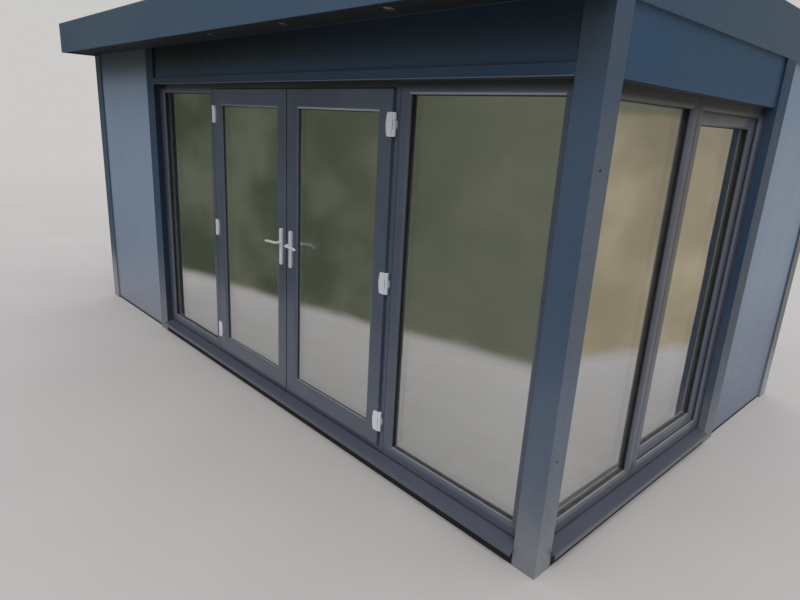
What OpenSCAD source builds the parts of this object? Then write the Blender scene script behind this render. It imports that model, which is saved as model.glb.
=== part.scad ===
// Garden office pod: flat-roofed insulated-panel room with a glazed front corner,
// a pair of outward-opening glazed doors, a fixed side window and a casement.
// Millimetres, +Z up. Origin on the ground under the middle of the wall rectangle.
// The front faces -Y and the glazed side faces +X.

/* [Overall] */
// Length of the front, over the corner trims
body_w = 5450; // [4700:50:6500]
// Depth of the side, over the corner trims
body_d = 3250; // [2800:50:4200]
// Height of the soffit and ceiling above the ground
soffit_h = 2428; // [2350:2:2600]
// Height of the header panel between the openings and the soffit
header_h = 278; // [200:2:340]
// Roof overhang in front of the wall line
overhang = 288; // [150:2:500]

/* [Walls] */
// Thickness of an insulated wall panel
panel_t = 100; // [75:5:125]
// Thickness of the folded trims, which the panels sit behind
trim_t = 14; // [8:1:20]
// Thickness of the inner lining boards
lining_t = 10; // [6:1:15]
// Face width of the corner post and corner trims
post_w = 125; // [110:5:160]
// Length of front wall left of the opening
front_wall_w = 1410; // [1000:10:1800]
// Width of the trim beside the front opening
front_jamb_w = 140; // [90:5:180]
// Width of the trim beside the side opening
side_jamb_w = 160; // [90:5:180]
// Height of the drip trim over the front opening
head_trim_h = 46; // [30:2:80]
// Width that one wall panel covers
panel_cover = 1100; // [900:20:1200]
// Width of the shadow groove between wall panels
groove_w = 8; // [4:1:12]
// Depth of the shadow groove between wall panels
groove_d = 4; // [2:1:8]

/* [Base] */
// Thickness of the base tray
tray_t = 20; // [15:1:40]
// Height of the finished floor
floor_h = 100; // [90:2:120]
// Thickness of the floor boards
boards_t = 12; // [8:1:20]

/* [Roof] */
// Height of the fascia
fascia_h = 250; // [200:5:320]
// Drop of the fascia below the soffit
fascia_drop = 14; // [8:1:30]
// Thickness of the soffit and ceiling sheets
sheet_t = 10; // [8:1:15]
// Thickness of the insulated roof panel
roof_t = 120; // [100:5:160]
// Thickness of the roof covering at the front edge
fall_front = 60; // [50:2:70]
// Thickness of the roof covering at the rear edge
fall_rear = 25; // [15:1:40]
// Width of the flange on top of the fascia
flange_w = 50; // [30:5:80]
// Thickness of the flange on top of the fascia
flange_t = 4; // [3:1:6]
// Thickness of the fascia corner caps
cap_t = 1.5; // [1:0.5:3]
// Number of soffit lights
light_count = 5; // [3:1:7]
// Spacing of the soffit lights
light_pitch = 857; // [600:1:900]
// Outer diameter of a soffit light
light_d = 88; // [70:2:110]
// Depth of a soffit light above the soffit
light_depth = 50; // [30:2:60]

/* [Rainwater] */
// Depth of the rear gutter trough
gutter_h = 75; // [60:5:100]
// Width of the rear gutter trough
gutter_w = 112; // [90:2:140]
// Wall of the gutter and downpipe
gutter_t = 4; // [3:1:6]
// Side of the square downpipe
pipe_w = 65; // [50:5:80]
// Distance of the downpipe from the corner
pipe_in = 40; // [30:5:120]

/* [Frames] */
// Width of the right-hand fixed light
right_light_w = 980; // [700:10:1200]
// Width of the door frame
door_frame_w = 1990; // [1700:10:2200]
// Length of the side opening
side_open_w = 1821; // [1500:10:2100]
// Width of the fixed light in the side opening
side_fixed_w = 865; // [600:10:1100]
// Set-back of the frames behind the wall line
frame_set = 52; // [30:2:60]
// Depth of the frame profile
frame_depth = 70; // [66:2:80]
// Face width of the frame profile
frame_sight = 65; // [50:5:80]
// Width of the rounded edge towards the glass
bead_w = 22; // [8:1:30]
// Depth of the rounded edge towards the glass
bead_d = 14; // [6:1:15]
// Chamfer of the bead on the room side
bead_back = 5; // [2:1:8]
// Distance from the frame face to the glass
glass_set = 30; // [20:1:32]
// Thickness of the sealed glass unit
unit_t = 28; // [24:2:28]
// Thickness of one pane
pane_t = 4; // [4:1:6]
// How far the frame covers the edge of the glass
glass_cover = 14; // [10:1:18]
// Clearance round the edge of a glass unit
glass_gap = 3; // [2:1:5]
// Height of the spacer bar round a glass unit
spacer_h = 9; // [6:1:10]

/* [Casement] */
// Face width of the casement sash
sash_sight = 76; // [66:1:90]
// Depth of the sash profile, which stands past the frame on the room side
sash_depth = 70; // [66:1:78]
// Recess of the sash face behind the frame face
sash_set = 22; // [16:1:28]
// How far the frame laps in front of the opening that the sash sits in
sash_lap = 16; // [12:1:20]
// Clearance between sash and frame
sash_gap = 3; // [2:1:5]

/* [Doors] */
// Door frame face left visible round the leaves
leaf_margin = 40; // [34:1:45]
// How far the leaf stands proud of the frame
leaf_proud = 16; // [10:1:20]
// Thickness of a door leaf
leaf_t = 64; // [56:1:66]
// Face width of the leaf stiles and rails
leaf_sight = 110; // [90:5:130]
// Gap between the two leaves
meeting_gap = 11; // [10:1:16]
// Gap between a leaf and its frame
leaf_gap = 6; // [5:1:8]
// How far the door stop reaches behind the leaf
stop_lap = 20; // [12:1:26]
// Distance from the leaf face to the glass
leaf_glass_set = 20; // [16:1:24]

/* [Hinges] */
// Height of a flag hinge
hinge_h = 118; // [90:2:140]
// Distance from the pin to the middle of the flag's bowed edge
flag_reach = 51; // [40:1:60]
// Bow of the flag's outer edge
flag_bow = 8; // [4:1:12]
// Thickness of the leaf flag
flag_t = 9; // [6:1:10]
// Radius of the hinge knuckle
knuckle_r = 10; // [8:0.5:11]
// Radius of the hinge pin
pin_r = 4; // [3:0.5:5]
// Distance of the pin beyond the leaf edge
pin_side = 16; // [14:1:20]
// Height of the lowest hinge above the foot of the leaf
hinge_low = 157; // [120:1:300]
// Depth of the highest hinge below the head of the leaf
hinge_high = 169; // [120:1:300]

/* [Handles] */
// Height of the lever spindle above the ground
lever_h = 1165; // [1000:5:1200]
// Length of the handle plate
plate_l = 243; // [200:1:260]
// Part of the handle plate above the spindle
plate_up = 93; // [60:1:100]
// Width of the handle plate
plate_w = 30; // [26:1:36]
// Thickness of the handle plate
plate_t = 11; // [8:1:14]
// Distance of the spindle from the meeting edge
spindle_in = 50; // [40:1:60]
// Length of the lever from its spindle
lever_l = 122; // [100:1:140]
// Bow of the lever rod, down towards its end
lever_bow = 5; // [1:1:10]
// Radius of the lever rod
lever_r = 8; // [6:0.5:10]
// Projection of the lever from its plate
lever_out = 40; // [34:1:55]
// Radius of the spindle
spindle_r = 4.5; // [4:0.5:5]
// Distance from the spindle down to the lock cylinder
lock_drop = 92; // [70:1:95]

/* [Sills] */
// Height of the back of the sill, where the frames stand
sill_h = 104; // [98:1:120]
// Fall of the sill from frame to nose
sill_fall = 18; // [8:1:24]
// Projection of the sill nose past the wall line
sill_nose = 24; // [12:1:40]
// Height of the sill nose
nose_h = 12; // [8:1:16]
// Height of the packer under the sill
packer_h = 60; // [50:1:62]

/* [Hidden] */

// Fine tolerance used where two cutters must pass through each other
eps = 1;
// Number of facets named for round forms
$fn = 48;

wall_t = trim_t + panel_t;
head_h = soffit_h - header_h;
fascia_z = soffit_h - fascia_drop;
fascia_top = fascia_z + fascia_h;
ceiling_top = soffit_h + sheet_t;
roof_top = ceiling_top + roof_t;
board_z = floor_h - boards_t;

open_x0 = front_wall_w;
open_x1 = body_w - post_w;
right_light_x = open_x1 - right_light_w;
door_x = right_light_x - door_frame_w;
left_light_w = door_x - open_x0;
side_x0 = post_w;
side_x1 = side_x0 + side_open_w;
side_case_x = side_x0 + side_fixed_w;
side_case_w = side_x1 - side_case_x;
frame_h = head_h - sill_h;

leaf_face = frame_set - leaf_proud;
leaf_z0 = sill_h + leaf_margin;
leaf_h = frame_h - 2 * leaf_margin;
leaf_w = (door_frame_w - 2 * leaf_margin - meeting_gap) / 2;
left_leaf_x = door_x + leaf_margin;
right_leaf_x = left_leaf_x + leaf_w + meeting_gap;
pocket = leaf_margin - leaf_gap;
stop_t = frame_set + frame_depth - leaf_face - leaf_t - leaf_gap;

knuckle_third = hinge_h / 3;
knuckle_gap = 1;
knuckle_edge = 1;
pin_lift = knuckle_r + 2 * knuckle_gap;
leaf_rise = leaf_proud - pin_lift;
pin_play = 0.3;
hinge_count = 3;

sash_x = frame_sight - sash_lap + sash_gap;
packer_set = 2;

// Places children drawn with x to the right from the front left corner and y inwards
module at_front() {
    translate([-body_w / 2, -body_d / 2, 0]) children();
}

// Places children drawn with x backwards from the front right corner and y inwards
module at_side() {
    translate([body_w / 2, -body_d / 2, 0]) rotate([0, 0, 90]) children();
}

module block(x0, x1, y0, y1, z0, z1) {
    translate([x0, y0, z0]) cube([x1 - x0, y1 - y0, z1 - z0]);
}

// Outline of an opening through a member: sides lists [inset, depth] from front to back
module opening_outline(w, sides) {
    n = len(sides);
    polygon(concat(sides, [for (i = [1 : n]) [w - sides[n - i][0], sides[n - i][1]]]));
}

// Welded ring, w wide and h high with its outer face at y = 0. Its inner sides follow one
// profile all round, so they meet in true mitres.
module profile_ring(w, h, depth, sides) {
    difference() {
        cube([w, depth, h]);
        intersection() {
            translate([0, 0, -eps]) linear_extrude(h + 2 * eps) opening_outline(w, sides);
            translate([-eps, 0, 0]) rotate([90, 0, 90]) linear_extrude(w + 2 * eps)
                rotate([0, 0, 90]) mirror([0, 1, 0]) opening_outline(h, sides);
        }
    }
}

// Quarter of an oval that rounds a member off towards the glass
function rounded_edge(sight) = [for (a = [0 : 18 : 90])
    [sight - bead_w + bead_w * sin(a), bead_d - bead_d * cos(a)]];

// Glazed member: rounded edge, groove that holds the glass unit, chamfered bead inside
function glazed_sides(sight, depth, set) = concat([[sight - bead_w, -eps]], rounded_edge(sight), [
    [sight, set], [sight - glass_cover, set], [sight - glass_cover, set + unit_t],
    [sight, set + unit_t], [sight, depth - bead_back], [sight - bead_back, depth],
    [sight - bead_back, depth + eps]]);

// Door frame member: clear to the rebate, then a stop that the leaf closes against
function stop_sides(clear, rebate, lap, depth) = [
    [clear, -eps], [clear, rebate], [clear + lap, rebate], [clear + lap, depth + eps]];

// Casement frame member: rounded lip in front, and behind it room for the sash
function lip_sides(sight, lip, lap, depth) = concat([[sight - bead_w, -eps]], rounded_edge(sight), [
    [sight, lip], [sight - lap, lip], [sight - lap, depth + eps]]);

// Two panes of a sealed unit that fits the groove of a ring w by h
module sealed_panes(w, h, sight, set) {
    edge = sight - glass_cover + glass_gap;
    block(edge, w - edge, set, set + pane_t, edge, h - edge);
    block(edge, w - edge, set + unit_t - pane_t, set + unit_t, edge, h - edge);
}

// Spacer bar between the panes
module spacer_ring(w, h, sight, set) {
    edge = sight - glass_cover + glass_gap;
    difference() {
        block(edge, w - edge, set + pane_t, set + unit_t - pane_t, edge, h - edge);
        block(edge + spacer_h, w - edge - spacer_h, set, set + unit_t,
            edge + spacer_h, h - edge - spacer_h);
    }
}

module post_box(z0, z1) {
    block(body_w - post_w, body_w, 0, post_w, z0, z1);
}

// Packer that carries a sill, standing a little behind the wall line
module packer(x0, x1) {
    translate([x0, 0, 0]) rotate([90, 0, 90]) linear_extrude(x1 - x0)
        polygon([[packer_set, 0], [wall_t, 0], [wall_t, packer_h], [packer_set, packer_h]]);
}

module base_tray() {
    color("black") union() {
        at_front() difference() {
            block(trim_t, body_w - trim_t, trim_t, body_d - trim_t, 0, tray_t);
            post_box(-eps, tray_t + eps);
        }
        at_front() packer(open_x0, open_x1);
        at_side() packer(side_x0, side_x1);
    }
}

module floor_panel() {
    color("lightgray") at_front() difference() {
        block(wall_t, body_w - wall_t, wall_t, body_d - wall_t, tray_t, board_z);
        post_box(0, floor_h);
    }
}

// Lining boards against the walls and headers, standing on the floor panel
module lining_shape(z0) {
    at_front() {
        block(wall_t, wall_t + lining_t, wall_t, body_d - wall_t, z0, soffit_h);
        block(wall_t, body_w - wall_t, body_d - wall_t - lining_t, body_d - wall_t, z0, soffit_h);
        block(wall_t, open_x0, wall_t, wall_t + lining_t, z0, soffit_h);
        block(open_x0, open_x1, wall_t, wall_t + lining_t, head_h, soffit_h);
    }
    at_side() {
        block(side_x1, body_d - wall_t, wall_t, wall_t + lining_t, z0, soffit_h);
        block(side_x0, side_x1, wall_t, wall_t + lining_t, head_h, soffit_h);
    }
}

module inner_linings() {
    color("white") union() lining_shape(board_z);
}

module floor_boards() {
    color("silver") difference() {
        at_front() block(wall_t, body_w - wall_t, wall_t, body_d - wall_t, board_z, floor_h);
        lining_shape(board_z - eps);
        at_front() post_box(0, floor_h + eps);
    }
}

// Wall panel run from x0 to x1 with shadow grooves in its outer face
module panel_run(x0, x1, z0, z1) {
    joints = floor((x1 - x0 - panel_cover / 4) / panel_cover);
    difference() {
        block(x0, x1, trim_t, wall_t, z0, z1);
        if (joints > 0) for (i = [1 : joints])
            block(x0 + i * panel_cover - groove_w / 2, x0 + i * panel_cover + groove_w / 2,
                trim_t - eps, trim_t + groove_d, z0 - eps, z1 + eps);
    }
}

module back_wall() {
    color("slategray") translate([body_w / 2, body_d / 2, 0]) rotate([0, 0, 180])
        panel_run(wall_t, body_w - wall_t, tray_t, soffit_h);
}

module left_wall() {
    color("slategray") translate([-body_w / 2, body_d / 2, 0]) rotate([0, 0, -90])
        panel_run(trim_t, body_d - trim_t, tray_t, soffit_h);
}

module front_wall() {
    color("slategray") at_front() panel_run(wall_t, open_x0 - trim_t, tray_t, soffit_h);
}

module right_wall() {
    color("slategray") at_side() panel_run(side_x1 + trim_t, body_d - trim_t, tray_t, soffit_h);
}

module opening_headers() {
    color("darkslategray") {
        at_front() block(open_x0 - trim_t, open_x1, trim_t, wall_t, head_h, soffit_h);
        at_side() block(side_x0, side_x1 + trim_t, trim_t, wall_t, head_h, soffit_h);
    }
}

module ceiling() {
    color("white") at_front()
        block(trim_t, body_w - trim_t, trim_t, body_d - trim_t, soffit_h, ceiling_top);
}

function light_x(i) = body_w / 2 + (i - (light_count - 1) / 2) * light_pitch;

module at_lights() {
    at_front() for (i = [0 : light_count - 1])
        translate([light_x(i), -overhang / 2, soffit_h]) children();
}

light_rim = 7;
light_body_r = light_d / 2 - light_rim;
light_play = 0.5;
light_lip = 3;

module light_pockets() {
    at_lights() translate([0, 0, -eps]) cylinder(r = light_body_r + light_play, h = light_depth + eps);
}

module soffit() {
    color("black") difference() {
        at_front() block(trim_t, body_w - trim_t, trim_t - overhang, trim_t, soffit_h, ceiling_top);
        light_pockets();
    }
}

// Recessed light: flange under the soffit, tapered reflector, flat lens, closed body above
module soffit_light() {
    lens_up = 5;
    mouth_r = light_body_r - light_rim;
    lens_r = mouth_r - light_rim;
    edge_r = light_d / 2;
    top = light_depth - 2 * light_play;
    rotate_extrude()
        polygon([[0, lens_up], [lens_r, lens_up], [mouth_r, -light_lip],
            [edge_r - light_lip / 2, -light_lip], [edge_r, -light_lip / 2], [edge_r, 0],
            [light_body_r, 0], [light_body_r, top], [0, top]]);
}

module soffit_lights() {
    color("whitesmoke") at_lights() soffit_light();
}

module roof_panel() {
    color("gray") difference() {
        at_front() block(trim_t, body_w - trim_t, trim_t - overhang, body_d - trim_t,
            ceiling_top, roof_top);
        light_pockets();
    }
}

// Covering laid to a fall from front to back, lapping over the rear fascia into the gutter
rear_lap = 25;

module roof_covering() {
    y0 = trim_t - overhang;
    y1 = body_d + rear_lap;
    color("dimgray") at_front() translate([trim_t, 0, roof_top])
        rotate([90, 0, 90]) linear_extrude(body_w - 2 * trim_t)
            polygon([[y0, 0], [y1, 0], [y1, fall_rear], [y0, fall_front]]);
}

// Flange turned inwards along the top of a fascia, mitred where two fascias meet
module top_flange(outline) {
    translate([0, -overhang, fascia_top - flange_t]) linear_extrude(flange_t) polygon(outline);
}

// Folded cap round the front left corner of the fascia
module corner_cap() {
    union() {
        block(-cap_t, post_w, -overhang - cap_t, -overhang, fascia_z, fascia_top);
        block(-cap_t, 0, -overhang, post_w - overhang, fascia_z, fascia_top);
    }
}

module front_fascia() {
    color("darkslategray") at_front() union() {
        block(trim_t, body_w - trim_t, -overhang, trim_t - overhang, fascia_z, fascia_top);
        top_flange([[trim_t, trim_t], [body_w - trim_t, trim_t], [body_w - flange_w, flange_w],
            [flange_w, flange_w]]);
        corner_cap();
        translate([body_w, 0, 0]) mirror([1, 0, 0]) corner_cap();
    }
}

module side_fascia() {
    union() {
        block(0, trim_t, -overhang, body_d, fascia_z, fascia_top);
        top_flange([[trim_t, trim_t], [flange_w, flange_w], [flange_w, body_d + overhang],
            [trim_t, body_d + overhang]]);
    }
}

module side_fascias() {
    color("darkslategray") at_front() {
        side_fascia();
        translate([body_w, 0, 0]) mirror([1, 0, 0]) side_fascia();
    }
}

module rear_fascia() {
    color("darkslategray") at_front()
        block(trim_t, body_w - trim_t, body_d - trim_t, body_d, fascia_z, roof_top);
}

gutter_drop = 8;
gutter_z = roof_top - gutter_h - gutter_drop;
pipe_y = body_d + (gutter_w - pipe_w) / 2;

module pipe_prism(x0, w, y0, z_low) {
    block(x0, x0 + w, y0, y0 + w, z_low, gutter_z);
}

module rear_gutter() {
    color("darkslategray") at_front() difference() {
        block(0, body_w, body_d, body_d + gutter_w, gutter_z, gutter_z + gutter_h);
        block(gutter_t, body_w - gutter_t, body_d + gutter_t, body_d + gutter_w - gutter_t,
            gutter_z + gutter_t, gutter_z + gutter_h + eps);
        block(pipe_in + gutter_t, pipe_in + pipe_w - gutter_t, pipe_y + gutter_t,
            pipe_y + pipe_w - gutter_t, gutter_z - eps, gutter_z + gutter_h);
    }
}

pipe_end = 90;
clip_h = 30;
clip_z = [500, 1900];

module rear_downpipe() {
    color("darkslategray") at_front() union() {
        difference() {
            pipe_prism(pipe_in, pipe_w, pipe_y, pipe_end);
            pipe_prism(pipe_in + gutter_t, pipe_w - 2 * gutter_t, pipe_y + gutter_t, pipe_end - eps);
        }
        for (z = clip_z)
            block(pipe_in, pipe_in + pipe_w, body_d, pipe_y, z, z + clip_h);
    }
}

module corner_post() {
    color("darkslategray") at_front() difference() {
        post_box(0, soffit_h);
        block(body_w - trim_t, body_w + eps, -eps, post_w + eps, fascia_z, soffit_h + eps);
    }
}

// L-shaped trim that wraps a corner at the origin, kept below the fascia on its side leg
module wrap_trim(front_top) {
    union() {
        block(0, trim_t, 0, post_w, 0, fascia_z);
        block(trim_t, post_w, 0, trim_t, 0, front_top);
    }
}

module corner_trims() {
    color("darkslategray") at_front() {
        wrap_trim(soffit_h);
        translate([0, body_d, 0]) mirror([0, 1, 0]) wrap_trim(fascia_z);
        translate([body_w, body_d, 0]) rotate([0, 0, 180]) wrap_trim(fascia_z);
    }
}

module jamb_trims() {
    color("darkslategray") {
        at_front() union() {
            block(open_x0 - front_jamb_w, open_x0, 0, trim_t, 0, soffit_h);
            block(open_x0 - trim_t, open_x0, trim_t, wall_t, tray_t, head_h);
        }
        at_side() union() {
            block(side_x1, side_x1 + side_jamb_w, 0, trim_t, 0, fascia_z);
            block(side_x1, side_x1 + trim_t, trim_t, wall_t, tray_t, head_h);
        }
    }
}

module head_trim() {
    color("darkslategray") at_front()
        block(open_x0, open_x1, 0, trim_t, head_h, head_h + head_trim_h);
}

// Sill section: level seat under the frame, fall to a rounded nose with a drip below
nose_r = 6;
drip_rise = 8;
nose_top = sill_h - sill_fall;

function sill_profile() = concat(
    [[wall_t, sill_h], [frame_set, sill_h]],
    [for (a = [90 : 22.5 : 180])
        [nose_r - sill_nose + nose_r * cos(a), nose_top - nose_r + nose_r * sin(a)]],
    [[-sill_nose, nose_top - nose_h], [trim_t - sill_nose, nose_top - nose_h],
        [trim_t - sill_nose, packer_h + drip_rise], [0, packer_h], [wall_t, packer_h]]);

module sill(x0, x1) {
    translate([x0, 0, 0]) rotate([90, 0, 90]) linear_extrude(x1 - x0) polygon(sill_profile());
}

module window_sills() {
    color("slategray") {
        at_front() sill(open_x0, open_x1);
        at_side() sill(side_x0, side_x1);
    }
}

module fixed_frame(x, w) {
    translate([x, frame_set, sill_h])
        profile_ring(w, frame_h, frame_depth, glazed_sides(frame_sight, frame_depth, glass_set));
}

module left_light_frame() {
    color("dimgray") at_front() fixed_frame(open_x0, left_light_w);
}

module right_light_frame() {
    color("dimgray") at_front() fixed_frame(right_light_x, right_light_w);
}

module side_light_frame() {
    color("dimgray") at_side() fixed_frame(side_x0, side_fixed_w);
}

module door_frame() {
    color("dimgray") at_front() translate([door_x, frame_set, sill_h])
        profile_ring(door_frame_w, frame_h, frame_depth,
            stop_sides(pocket, frame_depth - stop_t, stop_lap, frame_depth));
}

// The sash opens inwards, so its face closes against the back of the frame's lip
module casement_frame() {
    color("dimgray") at_side() translate([side_case_x, frame_set, sill_h])
        profile_ring(side_case_w, frame_h, frame_depth,
            lip_sides(frame_sight, sash_set, sash_lap, frame_depth));
}

sash_w = side_case_w - 2 * sash_x;
sash_h = frame_h - 2 * sash_x;

module at_sash() {
    at_side() translate([side_case_x + sash_x, frame_set + sash_set, sill_h + sash_x]) children();
}

module casement_sash() {
    color("dimgray") at_sash()
        profile_ring(sash_w, sash_h, sash_depth,
            glazed_sides(sash_sight, sash_depth, glass_set));
}

module fixed_glass() {
    color("lightblue") {
        at_front() {
            translate([open_x0, frame_set, sill_h])
                sealed_panes(left_light_w, frame_h, frame_sight, glass_set);
            translate([right_light_x, frame_set, sill_h])
                sealed_panes(right_light_w, frame_h, frame_sight, glass_set);
        }
        at_side() translate([side_x0, frame_set, sill_h])
            sealed_panes(side_fixed_w, frame_h, frame_sight, glass_set);
        at_sash() sealed_panes(sash_w, sash_h, sash_sight, glass_set);
    }
}

module fixed_spacers() {
    color("silver") {
        at_front() {
            translate([open_x0, frame_set, sill_h])
                spacer_ring(left_light_w, frame_h, frame_sight, glass_set);
            translate([right_light_x, frame_set, sill_h])
                spacer_ring(right_light_w, frame_h, frame_sight, glass_set);
        }
        at_side() translate([side_x0, frame_set, sill_h])
            spacer_ring(side_fixed_w, frame_h, frame_sight, glass_set);
        at_sash() spacer_ring(sash_w, sash_h, sash_sight, glass_set);
    }
}

// Hinge parts are drawn round the pin axis, with +x towards the frame and +y inwards.
// The leaf face stands leaf_rise in front of the pin, the frame face pin_lift behind it.
flag_corner = 6;
flag_front = -leaf_rise - flag_t;
knuckle_cut = knuckle_third / 2 + knuckle_gap;

module knuckle(h, bore) {
    rotate_extrude()
        polygon([[bore, -h / 2], [knuckle_r - knuckle_edge, -h / 2], [knuckle_r, knuckle_edge - h / 2],
            [knuckle_r, h / 2 - knuckle_edge], [knuckle_r - knuckle_edge, h / 2], [bore, h / 2]]);
}

// Flag on the leaf face, its outer edge bowed, its corners rounded
module leaf_flag() {
    x1 = -knuckle_r / 2;
    bow_r = (pow(hinge_h / 2, 2) + pow(flag_bow, 2)) / (2 * flag_bow);
    top = hinge_h / 2;
    intersection() {
        union() {
            block(-flag_reach, x1, flag_front, -leaf_rise, flag_corner - top, top - flag_corner);
            block(flag_corner + flag_bow - flag_reach, x1, flag_front, -leaf_rise, -top, top);
            for (z = [flag_corner - top, top - flag_corner])
                translate([flag_corner + flag_bow - flag_reach, -leaf_rise, z]) rotate([90, 0, 0])
                    cylinder(r = flag_corner, h = flag_t);
        }
        translate([bow_r - flag_reach, eps - leaf_rise, 0]) rotate([90, 0, 0])
            cylinder(r = bow_r, h = flag_t + 2 * eps);
    }
}

module leaf_hinge() {
    difference() {
        union() {
            leaf_flag();
            knuckle(hinge_h, 0);
        }
        translate([0, 0, -knuckle_cut]) cylinder(r = knuckle_r + 2 * knuckle_gap, h = 2 * knuckle_cut);
        cylinder(r = pin_r + pin_play, h = hinge_h + 2 * eps, center = true);
    }
}

// Middle knuckle with the pin, on a foot that stands on the frame face
module frame_hinge() {
    foot_t = pin_lift - knuckle_r / 2;
    union() {
        knuckle(knuckle_third, 0);
        cylinder(r = pin_r, h = hinge_h, center = true);
        block(-knuckle_r / 2, knuckle_r, pin_lift - foot_t, pin_lift,
            -knuckle_third / 2, knuckle_third / 2);
    }
}

hinge_pitch = (leaf_h - hinge_low - hinge_high) / (hinge_count - 1);

function hinge_z(i) = leaf_z0 + hinge_low + i * hinge_pitch;

module at_right_hinges() {
    at_front() for (i = [0 : hinge_count - 1])
        translate([right_leaf_x + leaf_w + pin_side, frame_set - pin_lift, hinge_z(i)]) children();
}

module at_left_hinges() {
    at_front() for (i = [0 : hinge_count - 1])
        translate([left_leaf_x - pin_side, frame_set - pin_lift, hinge_z(i)]) mirror([1, 0, 0])
            children();
}

module frame_hinges() {
    color("silver") {
        at_right_hinges() frame_hinge();
        at_left_hinges() frame_hinge();
    }
}

module left_door_hinges() {
    color("silver") at_left_hinges() leaf_hinge();
}

module right_door_hinges() {
    color("silver") at_right_hinges() leaf_hinge();
}

bore_play = 2.5;
lock_r = 8.5;
lock_out = 2;
neck_rim = 2;

// Leaf ring with the spindle bore through its meeting stile at x = spindle_x
module door_leaf(spindle_x) {
    difference() {
        profile_ring(leaf_w, leaf_h, leaf_t, glazed_sides(leaf_sight, leaf_t, leaf_glass_set));
        translate([spindle_x, -eps, lever_h - leaf_z0]) rotate([-90, 0, 0])
            cylinder(r = spindle_r + bore_play, h = leaf_t + 2 * eps);
    }
}

module at_left_leaf() {
    at_front() translate([left_leaf_x, leaf_face, leaf_z0]) children();
}

module at_right_leaf() {
    at_front() translate([right_leaf_x, leaf_face, leaf_z0]) children();
}

module left_door_leaf() {
    color("dimgray") at_left_leaf() door_leaf(leaf_w - spindle_in);
}

module right_door_leaf() {
    color("dimgray") at_right_leaf() door_leaf(spindle_in);
}

module left_door_glass() {
    color("lightblue") at_left_leaf() sealed_panes(leaf_w, leaf_h, leaf_sight, leaf_glass_set);
}

module right_door_glass() {
    color("lightblue") at_right_leaf() sealed_panes(leaf_w, leaf_h, leaf_sight, leaf_glass_set);
}

module left_door_spacer() {
    color("silver") at_left_leaf() spacer_ring(leaf_w, leaf_h, leaf_sight, leaf_glass_set);
}

module right_door_spacer() {
    color("silver") at_right_leaf() spacer_ring(leaf_w, leaf_h, leaf_sight, leaf_glass_set);
}

// Handle parts are drawn round the spindle, outwards along -y from the leaf face at y = 0
module handle_plate() {
    r = plate_w / 2;
    low = plate_up - plate_l;
    difference() {
        union() {
            block(-r, r, -plate_t, 0, low + r, plate_up - r);
            for (z = [low + r, plate_up - r])
                translate([0, 0, z]) rotate([90, 0, 0]) cylinder(r = r, h = plate_t);
            translate([0, 0, -lock_drop]) rotate([90, 0, 0])
                cylinder(r = lock_r, h = plate_t + lock_out);
        }
        rotate([90, 0, 0]) translate([0, 0, -eps])
            cylinder(r = spindle_r + bore_play / 2, h = plate_t + 2 * eps);
    }
}

bend_r = 16;
rod_step = 0.2;

// Lever: neck, quarter bend and a rod that bows down to a round end, towards +x.
// The rod is rod_step thicker than its bend and end, and laps over the end of the bend.
module lever_arm() {
    neck = lever_out - bend_r;
    reach = lever_l - bend_r - lever_r;
    bow_r = (pow(reach, 2) + pow(lever_bow, 2)) / (2 * lever_bow);
    bow_angle = asin(reach / bow_r);
    lap_angle = asin(eps / bow_r);
    union() {
        rotate([90, 0, 0]) cylinder(r = lever_r + neck_rim, h = neck);
        translate([bend_r, -neck, 0]) rotate([0, 0, 180])
            rotate_extrude(angle = 90) translate([bend_r, 0]) circle(r = lever_r - rod_step);
        translate([bend_r, -lever_out, -bow_r]) rotate([90, 0, 0]) rotate([0, 0, 90 - bow_angle])
            rotate_extrude(angle = bow_angle + lap_angle)
                translate([bow_r, 0]) circle(r = lever_r);
        translate([lever_l - lever_r, -lever_out, -lever_bow]) sphere(r = lever_r - rod_step);
    }
}

// Outer and inner lever on one spindle, through a leaf that is leaf_t thick
module lever_pair() {
    union() {
        translate([0, -plate_t - pin_play, 0]) lever_arm();
        translate([0, leaf_t + plate_t + pin_play, 0]) mirror([0, 1, 0]) lever_arm();
        translate([0, leaf_t + plate_t + eps, 0]) rotate([90, 0, 0])
            cylinder(r = spindle_r, h = leaf_t + 2 * plate_t + 2 * eps);
    }
}

module plate_pair() {
    handle_plate();
    translate([0, leaf_t, 0]) mirror([0, 1, 0]) handle_plate();
}

module at_left_handle() {
    at_left_leaf() translate([leaf_w - spindle_in, 0, lever_h - leaf_z0]) children();
}

module at_right_handle() {
    at_right_leaf() translate([spindle_in, 0, lever_h - leaf_z0]) children();
}

module left_door_plates() {
    color("silver") at_left_handle() plate_pair();
}

module right_door_plates() {
    color("silver") at_right_handle() plate_pair();
}

module left_door_levers() {
    color("silver") at_left_handle() mirror([1, 0, 0]) lever_pair();
}

module right_door_levers() {
    color("silver") at_right_handle() lever_pair();
}

base_tray();
floor_panel();
floor_boards();
back_wall();
left_wall();
front_wall();
right_wall();
opening_headers();
inner_linings();
ceiling();
soffit();
soffit_lights();
roof_panel();
roof_covering();
front_fascia();
side_fascias();
rear_fascia();
rear_gutter();
rear_downpipe();
corner_post();
corner_trims();
jamb_trims();
head_trim();
window_sills();
left_light_frame();
right_light_frame();
door_frame();
side_light_frame();
casement_frame();
casement_sash();
fixed_glass();
fixed_spacers();
frame_hinges();
left_door_leaf();
left_door_glass();
left_door_spacer();
left_door_hinges();
left_door_plates();
left_door_levers();
right_door_leaf();
right_door_glass();
right_door_spacer();
right_door_hinges();
right_door_plates();
right_door_levers();
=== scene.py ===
"""Looks of the garden office pod, in metres: finishes, seals, fittings, studio and camera round the frame."""
import math

import bmesh
import bpy
from mathutils import Matrix, Vector


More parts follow.
